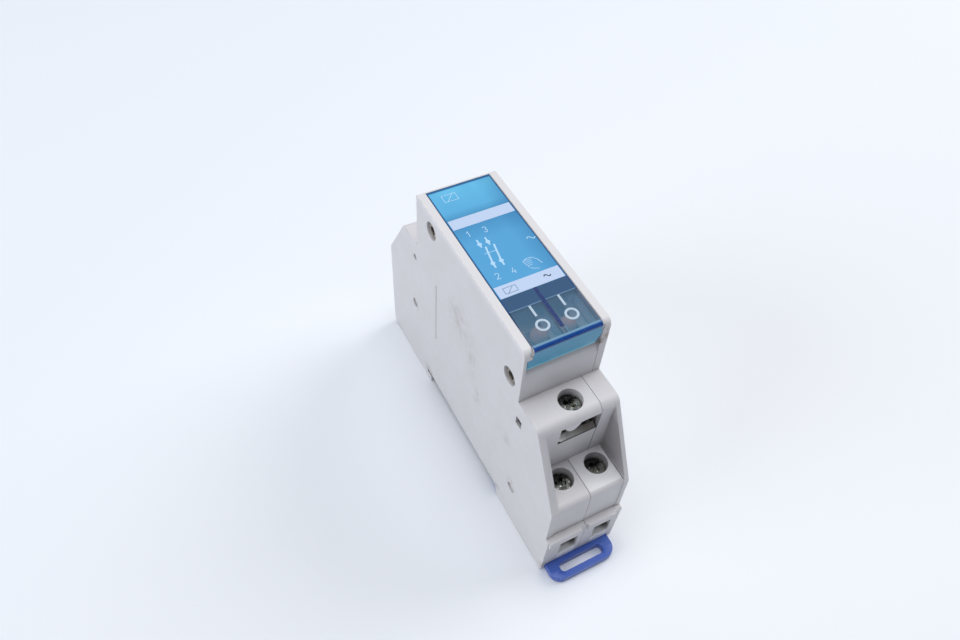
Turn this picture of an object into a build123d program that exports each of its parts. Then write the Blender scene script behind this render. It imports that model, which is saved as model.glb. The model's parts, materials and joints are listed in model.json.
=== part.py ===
"""Installation relay for a 35 mm hat rail: one module wide, two normally open contacts.

Frame, in millimetres: +X to the right, +Y up when the rail is level on a wall, +Z out of the
panel towards the reader. The origin is the centre of the rail seat, so the rail's front face
lies in the plane z = 0 and the rail's middle line is the X axis.
"""
from build123d import *
from math import cos, radians, sin
import os

# ---------------------------------------------------------------- driving dimensions
WIDTH = 18.0                # one module
HALF = WIDTH / 2
FOOT_Z = -3.2               # lowest face: the feet behind the rail flange
CAP_Z = 54.8                # front of the cap
CAP_END = 22.5              # half of the 45 mm cap
SHOULDER_Z = 39.8
SHOULDER_END = 29.6
TERRACE_Z = 22.5            # floor above the lower terminals
UPPER_FACE = 29.5           # foot of the upper terminal's face, between the wings
UPPER_LIP = (30.45, 38.2)   # y, z where that face, which leans out, meets the shoulder
NEAR_FACE = 38.6            # face of the lower terminals, lower end
NEAR_WING = 38.8
APRON = 39.8                # front of the skirt that guides the rail clip
LEDGE_Z = 11.4
FAR_FACE = 38.1
FAR_WING = 38.3
WING_Z = 22.0               # where the sloping wing edge ends
INNER_LEFT = -7.4           # inside faces of the two side walls
INNER_RIGHT = 8.0
CAP_WALL_INNER = 7.3        # inside faces of the cap's two cheeks
FLOOR_Z = 1.4               # inside of the back wall
MID_X = 0.3                 # middle of the cavity

SEAM_CAP = 7.35             # where the right cover meets the left tub, by level
SEAM_SHOULDER = 4.9
SEAM_TERRACE = 0.1
SEAM_GAP = 0.1

RAIL_HALF = 17.5            # 35 mm rail
RAIL_FLANGE = 1.0
HOOK_TIP = 15.6

LOWER_X = (-3.2, 4.9)       # the two lower terminals
LOWER_Y = 32.8
LOWER_HALF = 3.2            # half width of a lower terminal's chamber
UPPER_X = 0.2               # the upper terminal
UPPER_Y = 26.2
HEAD_HOLE_R = 2.5
HEAD_R = 2.3
THREAD_R = 1.75             # M3.5 thread, pitch 0.6
THREAD_CLEAR = 0.08
BUSBAR = 1.2                # thickness of the current-carrying strips
BUSBAR_Z = 8.2              # underside of the lower strips
UPPER_BUSBAR_Z = 31.2
CAGE_TRAVEL = 3.6
PLATE_TRAVEL = 2.4

STROKE = 3.0                # travel of the armature and the contact carrier
LEVER_Y = -18.5             # pivot of the position levers, on the lower rivet
LEVER_Z = 43.3
LEVER_X = (-2.8, 3.4)
LEVER_KNOB_R = 7.6          # pivot to knob
LEVER_REST = 9.85           # lean of the knob arm at rest, degrees
LEVER_SWING = 28.4
CRANK_R = STROKE / 2 / sin(radians(LEVER_SWING / 2))
RIVET_R = 1.5
BOSS_R = 2.7                # bosses that carry the lower rivet inside the housing
RIVET_TOP = (15.4, 50.5)    # y, z of the upper rivet

WINDOW_T = 1.6
WINDOW_FAR = 21.6
WINDOW_LIP_Z = 49.8
LABEL_Z = 52.7              # top of the tray, where the label lies
CLIP_TIP = 44.0
CLIP_LEFT = -7.9
CLIP_RIGHT = 7.7
CLIP_TOP = -1.15
CLIP_BOTTOM = -3.05


# ---------------------------------------------------------------- small helpers
def box(x, y, z):
    """Block between two values on each axis."""
    size = [max(pair) - min(pair) for pair in (x, y, z)]
    middle = [sum(pair) / 2 for pair in (x, y, z)]
    return Pos(*middle) * Box(*size)


def rod_z(x, y, radius, low, high):
    return Pos(x, y, (low + high) / 2) * Cylinder(radius, high - low)


def rod_x(y, z, radius, low, high):
    return Pos((low + high) / 2, y, z) * Rot(0, 90, 0) * Cylinder(radius, high - low)


def rod_y(x, z, radius, low, high):
    return Pos(x, (low + high) / 2, z) * Rot(90, 0, 0) * Cylinder(radius, high - low)


def slab_x(corners, low, high):
    """Extrude a Y-Z outline along X. A corner is (y, z) or (y, z, fillet radius)."""
    face = make_face(Polyline(*[corner[:2] for corner in corners], close=True))
    for corner in corners:
        if len(corner) == 3:
            vertex = face.vertices().sort_by_distance((corner[0], corner[1], 0))[0]
            face = fillet(vertex, corner[2])
    return extrude(Plane.YZ.offset(low) * face, high - low)


def slab_z(corners, low, high):
    """Extrude an X-Y outline along Z. A corner is (x, y) or (x, y, fillet radius)."""
    face = make_face(Polyline(*[corner[:2] for corner in corners], close=True))
    for corner in corners:
        if len(corner) == 3:
            vertex = face.vertices().sort_by_distance((corner[0], corner[1], 0))[0]
            face = fillet(vertex, corner[2])
    return extrude(Plane.XY.offset(low) * face, high - low)


def mirrored(corners, end):
    """Flip an outline drawn for the +Y end to the end asked for."""
    return [(corner[0] * end,) + tuple(corner[1:]) for corner in corners]


def coil_spring(radius, wire, length, turns):
    """Helical spring standing on z = 0."""
    path = Helix(pitch=(length - wire) / turns, height=length - wire, radius=radius)
    section = Plane(origin=path @ 0, z_dir=path % 0) * Circle(wire / 2)
    return Pos(0, 0, wire / 2) * sweep(section, path)


# ---------------------------------------------------------------- housing
def body_outline():
    """Side view of the closed housing, from the lower end round to the back."""
    return [
        (-APRON + 0.4, FOOT_Z, 1.0),
        (-APRON, LEDGE_Z, 0.3),
        (-NEAR_WING, LEDGE_Z),
        (-NEAR_WING, WING_Z, 1.0),
        (-SHOULDER_END, SHOULDER_Z, 1.8),
        (-CAP_END, SHOULDER_Z),
        (-CAP_END, CAP_Z, 1.6),
        (CAP_END, CAP_Z, 0.8),
        (CAP_END, SHOULDER_Z),
        (SHOULDER_END, SHOULDER_Z, 1.8),
        (FAR_WING, WING_Z + 3.2, 1.0),
        (FAR_WING, FOOT_Z, 3.0),
        (HOOK_TIP, FOOT_Z, 0.4),
        (HOOK_TIP, -RAIL_FLANGE - 0.2),
        (RAIL_HALF + 0.2, -RAIL_FLANGE - 0.2),
        (RAIL_HALF + 0.2, 0),
        (-18.3, 0),
        (-19.6, FOOT_Z, 0.4),
    ]


def end_recess(end, face, floor):
    """Space between the wings, in front of the terminals of one end."""
    corners = [
        (60, floor),
        (face, floor),
        (face, TERRACE_Z, 1.2),
        (UPPER_FACE, TERRACE_Z),
        UPPER_LIP,
        (34.5, 46),
        (60, 46),
    ]
    return slab_x(mirrored(corners, end), INNER_LEFT, INNER_RIGHT)


def lower_terminal_space(end, x):
    """Chamber, screw well, strip slot and wire entry of one lower terminal."""
    y = end * LOWER_Y
    space = box((x - LOWER_HALF, x + LOWER_HALF), (end * 29.6, end * 36.6), (FLOOR_Z, 17.3))
    space += rod_z(x, y, HEAD_HOLE_R, 18.8, TERRACE_Z + 2)
    space += rod_z(x, y, THREAD_R + 0.12, 17, 19)
    space += box((x - 2.6, x + 2.6), (end * 28, end * 30), (BUSBAR_Z - 0.1, BUSBAR_Z + BUSBAR + 0.1))
    entry = x + (0 if x < 0 else 0.2)
    space += box((entry - 2.15, entry + 2.15), (end * 36, end * 42), (3.1, 8.1))
    funnel = slab_x(
        mirrored([(37.4, 3.1), (42, 0.4), (42, 8.6), (37.4, 8.1)], end),
        entry - 2.15,
        entry + 2.15,
    )
    return space + funnel


def upper_terminal_space(end):
    """Chamber, screw well and wire slot of one upper terminal."""
    y = end * UPPER_Y
    space = box((-4.0, SEAM_SHOULDER), (end * 28, end * 31), (32.4, 37.9))
    space -= rod_z(UPPER_X, y, HEAD_HOLE_R + 0.8, 36.3, 38)
    space += box((-4.0, SEAM_SHOULDER), (end * 22.9, end * 29.3), (30.2, 36.2))
    space += rod_z(UPPER_X, y, HEAD_HOLE_R, 36, SHOULDER_Z + 2)
    space += rod_z(UPPER_X, y, THREAD_R + 0.25, 28.5, 31)
    space += box((UPPER_X - 0.7, UPPER_X + 0.9), (end * 21, end * 23.5), (31.1, 32.5))
    return space - rod_z(UPPER_X - 1.5, end * (UPPER_Y + 2.15), 0.5, 38.5, 39.4)


def mechanism_space():
    """Main cavity that holds the magnet and the contacts."""
    corners = [
        (-28.2, FLOOR_Z),
        (28.2, FLOOR_Z),
        (28.2, 29.0),
        (21.3, 29.0),
        (21.3, 49.7),
        (-21.3, 49.7),
        (-21.3, 29.0),
        (-28.2, 29.0),
    ]
    return slab_x(corners, INNER_LEFT, INNER_RIGHT)


def cap_recess():
    """Seat of the window and the tray between the cheeks, and the neck under the window's lip."""
    seat = box((-CAP_WALL_INNER, CAP_WALL_INNER), (-30, WINDOW_FAR + 0.1), (49.6, 60))
    seat += box((-8.35, 0), (-30, -21.15), (49.6, 52.3))
    neck = [(-21.3, 49.7), (-22.5, 46.2), (-24, 46.2), (-24, 49.7)]
    seat += slab_x(neck, -8.35, CAP_WALL_INNER)
    for side in (-1, 1):
        groove = (side * 7.0, side * 7.75)
        seat += box(groove, (-30, WINDOW_FAR + 0.1), (53.2, 54.0))
    return seat


def clip_channel():
    """Open channel under the lower end, with a guide rib along each wall."""
    channel = box((-8.1, 7.95), (-50, -17.9), (-8, -0.95))
    for wall in ((-8.3, -7.45), (7.25, 8.15)):
        channel -= box(wall, (-38.2, -21.6), (-2.35, -1.85))
    return channel


def rivet_spaces():
    """Bores and sunk ends of the two rivets that hold the housing together."""
    spaces = Part()
    for y, z in (RIVET_TOP, (LEVER_Y, LEVER_Z)):
        spaces += rod_x(y, z, RIVET_R, -HALF, HALF)
        spaces += rod_x(y, z, 2.1, -HALF - 1, -HALF + 1.0)
        spaces += rod_x(y, z, 2.1, HALF - 1.0, HALF + 1)
    return spaces


def side_marks():
    """Latch window and shallow ejector marks on the two side walls."""
    marks = box((-HALF - 1, -HALF + 1.2), (-24.5, -22.5), (33.0, 35.3))
    for y, z, radius in ((23.9, 34.9, 0.8), (24.4, 18.6, 1.25), (-24.3, 8.9, 1.3)):
        marks += rod_x(y, z, radius, -HALF - 1, -HALF + 0.45)
        marks += rod_x(y, z, radius, HALF - 0.3, HALF + 1)
    marks += box((-HALF - 1, -HALF + 0.18), (12.9, 13.15), (17.5, 36.3))
    return marks


def housing_body():
    """Whole housing before it is split along the seam."""
    body = slab_x(body_outline(), -HALF, HALF)
    body -= end_recess(-1, NEAR_FACE, LEDGE_Z)
    body -= end_recess(1, FAR_FACE, -1.0)
    body += box((-8.7, -1.1), (-40.3, -38.0), (9.3, LEDGE_Z))
    body += box((0.7, 7.4), (-40.3, -38.0), (9.3, LEDGE_Z))
    body -= mechanism_space()
    body += rod_x(LEVER_Y, LEVER_Z, BOSS_R, INNER_LEFT, -5.4)
    body += rod_x(LEVER_Y, LEVER_Z, BOSS_R, 6.0, INNER_RIGHT)
    for end in (-1, 1):
        body -= upper_terminal_space(end)
        for x in LOWER_X:
            body -= lower_terminal_space(end, x)
    body -= cap_recess()
    body -= clip_channel()
    body += box((MID_X - 0.8, MID_X + 0.8), (-32.0, -31.0), (-2.9, -0.9))
    body -= rivet_spaces()
    body -= side_marks()
    return body


def cover_region(shift):
    """Everything to the right of the stepped seam."""
    wide = (-60, 60)
    region = box((SEAM_CAP + shift, 20), wide, (-20, 70))
    region += box((7.0 + shift, 20), (-60, -17.9), (-20, -0.95))
    region += rod_x(LEVER_Y, LEVER_Z, BOSS_R + 0.05, 5.8 + shift, 20)
    for end in (-1, 1):
        region += box((SEAM_SHOULDER + shift, 20), (end * CAP_END, end * 60), (TERRACE_Z, 70))
        region += box((SEAM_TERRACE + shift, 20), (end * 28.9, end * 60), (-20, TERRACE_Z))
    return region


# ---------------------------------------------------------------- front of the cap
def window_cover():
    """Tinted window that wraps over the lower end of the cap."""
    side = 7.2
    cover = box((-side, side), (-CAP_END, WINDOW_FAR), (CAP_Z - WINDOW_T, CAP_Z))
    cover -= box((-side + 0.6, side - 0.6), (-21.3, -12.8), (CAP_Z - 3, CAP_Z - 0.9))
    cover += box((MID_X - 0.45, MID_X + 0.45), (-21.3, -9.9), (CAP_Z - 4.1, CAP_Z - 0.9))
    cover += box((-side, side), (-CAP_END, -21.3), (WINDOW_LIP_Z, CAP_Z))
    cover += box((-8.25, 0), (-CAP_END, -21.3), (WINDOW_LIP_Z, 52.2))
    for edge in (-1, 1):
        cover += box((edge * 7.1, edge * 7.65), (-CAP_END + 0.1, WINDOW_FAR), (53.3, 53.9))
    cut = [(5.6, WINDOW_LIP_Z - 1), (8, WINDOW_LIP_Z - 1), (8, 51.4), (6.9, 51.4)]
    corner = make_face(Polyline(*cut, close=True))
    cover -= extrude(Plane.XZ.offset(20) * corner, 6)
    ridge = cover.edges().filter_by(Axis.X).sort_by_distance((0, -CAP_END, CAP_Z))[0]
    return fillet(ridge, 0.5)


def front_tray():
    """Moulding under the window: it carries the label and frames the lever slots."""
    half = 7.15
    tray = box((-half, half), (-21.2, WINDOW_FAR), (49.75, LABEL_Z))
    tray -= box((-half + 1, half - 1), (-20.6, -9.9), (50.6, 55))
    tray -= box((-half + 1, half - 1), (-8.6, WINDOW_FAR - 1), (49, 51.6))
    tray -= box((-9, 9), (-22, -12.8), (50.2, 55))
    for x in LEVER_X:
        tray -= box((x - 1.9, x + 1.9), (-20.2, -10.8), (49, 52))
    tray -= rod_x(RIVET_TOP[0], RIVET_TOP[1], RIVET_R + 0.2, -9, 9)
    return tray


def label_card():
    return box((-7.1, 7.1), (-9.8, WINDOW_FAR - 0.1), (LABEL_Z, LABEL_Z + 0.4))


def lever(x):
    """Bell crank: knob arm towards the window, crank arm into the carrier's fork."""
    half = 1.3
    lean = radians(LEVER_REST)
    knob_y = LEVER_Y + LEVER_KNOB_R * sin(lean)
    knob_z = LEVER_Z + LEVER_KNOB_R * cos(lean)
    rise = radians(LEVER_SWING / 2)
    crank_y = LEVER_Y + CRANK_R * cos(rise)
    crank_z = LEVER_Z + CRANK_R * sin(rise)
    piece = rod_x(LEVER_Y, LEVER_Z, 2.6, x - half, x + half)
    piece += slab_x(
        [(LEVER_Y - 1.1, LEVER_Z), (LEVER_Y + 1.1, LEVER_Z), (knob_y + 1.1, knob_z), (knob_y - 1.1, knob_z)],
        x - half,
        x + half,
    )
    piece += slab_x(
        [(LEVER_Y, LEVER_Z - 1.2), (crank_y, crank_z - 0.4), (crank_y, crank_z + 0.4), (LEVER_Y, LEVER_Z + 1.2)],
        x - half,
        x + half,
    )
    piece += rod_x(crank_y, crank_z, 0.8, x - half, x + half)
    piece += Pos(x, knob_y, knob_z - 0.2) * Sphere(1.7)
    return piece - rod_x(LEVER_Y, LEVER_Z, RIVET_R + 0.06, x - 5, x + 5)


# ---------------------------------------------------------------- moving system
def armature():
    """Flat pole plate with the plunger under it and the carrier's stud on top."""
    piece = box((MID_X - 6, MID_X + 6), (-13.4, 13.4), (23.05, 25.05))
    piece += rod_z(MID_X, 0, 2.9, 10.65, 23.5)
    return piece + rod_z(MID_X, 0, 1.5, 25, 27.8)


def contact_carrier():
    """Plastic slide that lifts both contact bridges and drives the levers."""
    carrier = box((-5.9, 7.7), (-2.6, 2.6), (25.1, 41))
    for x in LOWER_X:
        carrier -= box((x - 2.1, x + 2.1), (-4, 4), (33.5, 38.6))
    carrier -= rod_z(MID_X, 0, 1.5, 24, 27.85)
    carrier += box((-4.6, 5.2), (-13.5, 2.6), (40.0, 47.2))
    carrier -= box((-9, 9), (-20, -10.4), (43.97, 45.63))
    carrier -= box((-3.4, 4.0), (-9.2, 1.4), (41.4, 50))
    return carrier


def contact_bridge(x):
    """Copper strip across the two fixed contacts, with a rivet hole near each end."""
    bridge = box((x - 1.8, x + 1.8), (-7.7, 7.7), (33.55, 34.55))
    for y in (-5.9, 5.9):
        bridge -= rod_z(x, y, 0.8, 33, 35)
    return bridge


def moving_tips(x):
    """Silver rivets of one bridge."""
    tips = []
    for y in (-5.9, 5.9):
        tips.append(rod_z(x, y, 1.6, 32.65, 33.55) + rod_z(x, y, 0.8, 33.5, 34.6))
    return Compound(children=tips)


def contact_spring(x):
    return Pos(x, 0, 34.6) * coil_spring(1.35, 0.4, 3.9, 4)


def return_spring():
    return Pos(MID_X, 0, 13.05) * coil_spring(3.85, 0.6, 9.95, 5)


# ---------------------------------------------------------------- magnet
def coil_bobbin():
    """Spool with a bore for the plunger, a wider bore for the spring and two pin tabs."""
    spool = rod_z(MID_X, 0, 5.4, 3.7, 19.7)
    for low in (3.7, 18.7):
        spool += box((MID_X - 7.3, MID_X + 7.3), (-10.7, 10.7), (low, low + 1.0))
    spool += box((MID_X - 0.95, MID_X + 0.95), (-14.0, 14.0), (18.7, 19.7))
    spool -= rod_z(MID_X, 0, 2.98, 3, 20)
    spool -= rod_z(MID_X, 0, 4.75, 13.0, 20)
    return spool


def coil_winding():
    """Enamelled wire between the spool's flanges."""
    half_x = 6.9
    half_y = 10.2
    corners = [
        (MID_X - half_x, -half_y, 5),
        (MID_X + half_x, -half_y, 5),
        (MID_X + half_x, half_y, 5),
        (MID_X - half_x, half_y, 5),
    ]
    winding = slab_z(corners, 4.75, 18.65)
    return winding - rod_z(MID_X, 0, 5.42, 4, 20)


def magnet_yoke():
    """U-shaped pole frame under and beside the coil."""
    yoke = box((MID_X - 6, MID_X + 6), (-13.4, 13.4), (FLOOR_Z + 0.05, 3.6))
    for end in (-1, 1):
        yoke += box((MID_X - 6, MID_X + 6), (end * 11.0, end * 13.4), (3, 20.0))
        yoke -= box((MID_X - 1.2, MID_X + 1.2), (end * 10.5, end * 14), (18.2, 21))
    return yoke - rod_z(MID_X, 0, 2.0, 0, 5)


def fixed_core():
    """Core stub, riveted into the pole frame."""
    return rod_z(MID_X, 0, 2.95, 3.6, 7.6) + rod_z(MID_X, 0, 2.0, FLOOR_Z + 0.05, 4)


# ---------------------------------------------------------------- current path
def load_busbar(end, x):
    """Strip from a lower terminal up to its fixed contact."""
    half = 2.2
    outer = 35.6
    riser = 20.4
    top = 28.6
    corners = [
        (outer, BUSBAR_Z),
        (outer, BUSBAR_Z + BUSBAR),
        (riser, BUSBAR_Z + BUSBAR, 0.5),
        (riser, top, 1.4),
        (4.2, top),
        (4.2, top - BUSBAR),
        (riser - BUSBAR, top - BUSBAR, 0.4),
        (riser - BUSBAR, BUSBAR_Z, 1.4),
    ]
    strip = slab_x(mirrored(corners, end), x - half, x + half)
    return strip - rod_z(x, end * 5.9, 0.8, 27, 29)


def fixed_tips():
    """Silver rivets on the four strips."""
    tips = []
    for x in LOWER_X:
        for y in (-5.9, 5.9):
            tips.append(rod_z(x, y, 1.6, 28.6, 29.6) + rod_z(x, y, 0.8, 27.3, 29))
    return Compound(children=tips)


def coil_busbar(end):
    """Threaded plate of an upper terminal and the thin strip from it to the coil's pin."""
    plate = box((-3.7, 4.6), (end * 23.1, end * 29.1), (UPPER_BUSBAR_Z, UPPER_BUSBAR_Z + BUSBAR))
    plate -= rod_z(UPPER_X, end * UPPER_Y, THREAD_R + THREAD_CLEAR, 30, 33)
    tail = [
        (23.3, 31.4),
        (23.3, 32.2),
        (14.05, 32.2, 1.0),
        (14.05, 17.6),
        (14.65, 17.6),
        (14.65, 31.4, 0.5),
    ]
    return plate + slab_x(mirrored(tail, end), UPPER_X - 0.55, UPPER_X + 0.75)


# ---------------------------------------------------------------- terminals
def driver_cross(x, y, top):
    """Combined slot and cross recess in a screw head."""
    cross = box((x - 2.6, x + 2.6), (y - 0.3, y + 0.3), (top - 0.8, top + 1))
    cross += box((x - 1.3, x + 1.3), (y - 0.55, y + 0.55), (top - 1.2, top + 1))
    return cross + box((x - 0.55, x + 0.55), (y - 1.3, y + 1.3), (top - 1.2, top + 1))


def lower_screw(end, x):
    """Long screw that stays in place and draws the lift cage up."""
    y = end * LOWER_Y
    screw = rod_z(x, y, HEAD_R, 18.85, 20.6) + rod_z(x, y, THREAD_R, 9.5, 19)
    return screw - driver_cross(x, y, 20.6)


def upper_screw(end):
    """Short screw with a plain neck that carries the clamp plate."""
    y = end * UPPER_Y
    screw = rod_z(UPPER_X, y, HEAD_R, 36.2, 38.2) + rod_z(UPPER_X, y, 1.25, 35, 36.5)
    screw += rod_z(UPPER_X, y, THREAD_R, 30.4, 35.1)
    return screw - driver_cross(UPPER_X, y, 38.2)


def lift_cage(end, x):
    """Bent frame round the strip, open towards the wire entry, threaded on top."""
    half = 3.05
    y = (end * (LOWER_Y - 2.9), end * (LOWER_Y + 2.9))
    cage = box((x - half, x + half), y, (1.9, 11.9))
    cage -= box((x - 2.25, x + 2.25), (end * 25, end * 40), (3.0, 10.2))
    return cage - rod_z(x, end * LOWER_Y, THREAD_R + THREAD_CLEAR, 9, 13)


def clamp_plate(end):
    """Plate under the head of an upper screw."""
    plate = box((-3.7, 4.6), (end * 23.6, end * 28.8), (35.15, 36.15))
    return plate - rod_z(UPPER_X, end * UPPER_Y, 1.32, 34, 37)


# ---------------------------------------------------------------- rail clip and rivets
def rail_clip():
    """Sliding foot: pull loop outside, spring slot in the middle, nose under the rail."""
    outline = [
        (CLIP_LEFT, -16.0, 0.6),
        (CLIP_RIGHT, -16.0, 0.6),
        (CLIP_RIGHT, -CLIP_TIP, 2.6),
        (CLIP_LEFT, -CLIP_TIP, 2.6),
    ]
    clip = slab_z(outline, CLIP_BOTTOM, CLIP_TOP)
    loop = [(-5.5, -42.7, 0.9), (5.3, -42.7, 0.9), (5.3, -40.6, 0.9), (-5.5, -40.6, 0.9)]
    clip -= slab_z(loop, -5, 0)
    clip -= box((MID_X - 1.3, MID_X + 1.3), (-32.2, -22.0), (-5, 0))
    for side in ((CLIP_LEFT - 1, -7.25), (7.05, CLIP_RIGHT + 1)):
        clip -= box(side, (-38.25, -17.5), (-2.45, -1.75))
    nose = [(-15.5, CLIP_BOTTOM - 1), (-15.5, CLIP_BOTTOM + 1.2), (-17.4, CLIP_BOTTOM), (-17.4, CLIP_BOTTOM - 1)]
    return clip - slab_x(nose, -9, 9)


def clip_spring():
    """Compression spring between the housing's peg and the clip."""
    spring = coil_spring(0.72, 0.3, 8.8, 8)
    return Pos(MID_X, -30.9, -2.05) * Rot(-90, 0, 0) * spring


def housing_rivets():
    """Two tubular rivets; the lower one is also the levers' axle."""
    rivets = []
    for y, z in (RIVET_TOP, (LEVER_Y, LEVER_Z)):
        rivet = rod_x(y, z, RIVET_R, -8.6, 8.6)
        rivet += rod_x(y, z, 1.95, -8.6, -8.0) + rod_x(y, z, 1.95, 8.0, 8.6)
        rivets.append(rivet - rod_x(y, z, 0.9, -10, 10))
    return Compound(children=rivets)


# ---------------------------------------------------------------- all pieces
def build_nodes():
    body = housing_body()
    nodes = {
        "housing_left": body - cover_region(0),
        "housing_right": body & cover_region(SEAM_GAP),
        "housing_rivets": housing_rivets(),
        "window_cover": window_cover(),
        "front_tray": front_tray(),
        "label_card": label_card(),
        "rail_clip": rail_clip(),
        "clip_spring": clip_spring(),
        "contact_carrier": contact_carrier(),
        "armature": armature(),
        "return_spring": return_spring(),
        "coil_bobbin": coil_bobbin(),
        "coil_winding": coil_winding(),
        "magnet_yoke": magnet_yoke(),
        "fixed_core": fixed_core(),
        "fixed_tips": fixed_tips(),
    }
    for side, x, lever_x in zip(("left", "right"), LOWER_X, LEVER_X):
        nodes[f"lever_{side}"] = lever(lever_x)
        nodes[f"contact_bridge_{side}"] = contact_bridge(x)
        nodes[f"contact_spring_{side}"] = contact_spring(x)
        nodes[f"moving_tips_{side}"] = moving_tips(x)
        for name, end in (("bottom", -1), ("top", 1)):
            nodes[f"load_busbar_{name}_{side}"] = load_busbar(end, x)
            nodes[f"load_screw_{name}_{side}"] = lower_screw(end, x)
            nodes[f"lift_cage_{name}_{side}"] = lift_cage(end, x)
    for name, end in (("bottom", -1), ("top", 1)):
        nodes[f"coil_busbar_{name}"] = coil_busbar(end)
        nodes[f"coil_screw_{name}"] = upper_screw(end)
        nodes[f"clamp_plate_{name}"] = clamp_plate(end)
    return nodes


os.makedirs("parts", exist_ok=True)
for node, shape in build_nodes().items():
    export_step(shape, f"parts/{node}.step")
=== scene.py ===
"""Looks of the installation relay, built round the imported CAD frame.

Frame: +X right along the rail, +Y up on the wall, +Z out to the front, origin at the middle
of the rail seat. Sizes in this file are millimetres until they are handed to Blender.
"""
import json
from math import atan2, ceil, cos, hypot, pi, radians, sin

import bmesh
import bpy
from mathutils import Matrix, Vector


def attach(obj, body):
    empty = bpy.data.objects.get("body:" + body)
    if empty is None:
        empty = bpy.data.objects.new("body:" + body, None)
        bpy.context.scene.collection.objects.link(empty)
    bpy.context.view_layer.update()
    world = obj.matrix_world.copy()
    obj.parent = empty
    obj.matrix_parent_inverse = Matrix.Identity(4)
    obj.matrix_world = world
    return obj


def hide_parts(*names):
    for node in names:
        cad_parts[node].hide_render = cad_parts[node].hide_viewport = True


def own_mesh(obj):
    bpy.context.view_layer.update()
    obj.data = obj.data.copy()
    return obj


MM = 0.001
ENDS = (("bottom", -1), ("top", 1))
SIDES = ("left", "right")
LOWER_X = {"left": -3.2, "right": 4.9}      # load screws
LOWER_Y = 32.8
UPPER_X = 0.2                               # coil screws
UPPER_Y = 26.2
NOTCH_X = (-3.2, 5.1)                       # wire notches in the skirt
MID_X = 0.3                                 # middle of the coil, rail clip and window rib
FLOOR_Z = -3.2
FRONT_Z = 54.8                              # face of the window
PITCH = 0.6                                 # of every screw's thread
HEAD_RADIUS = 2.3
RIVETS_YZ = ((15.4, 50.5), (-18.5, 43.3))

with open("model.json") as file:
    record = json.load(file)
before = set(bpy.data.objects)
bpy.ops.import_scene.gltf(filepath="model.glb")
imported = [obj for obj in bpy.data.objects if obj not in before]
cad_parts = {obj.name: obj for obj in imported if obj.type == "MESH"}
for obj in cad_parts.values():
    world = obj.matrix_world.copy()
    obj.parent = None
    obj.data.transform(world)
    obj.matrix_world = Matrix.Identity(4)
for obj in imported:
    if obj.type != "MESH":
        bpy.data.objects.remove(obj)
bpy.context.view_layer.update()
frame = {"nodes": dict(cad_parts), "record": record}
NODES = frame["nodes"]
BODY_OF = {n: b for b, members in frame["record"]["behaviour"]["bodies"].items() for n in members}
SLOT_OF = {s["node"]: s["material_slot"] for s in frame["record"]["subparts"]}


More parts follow.
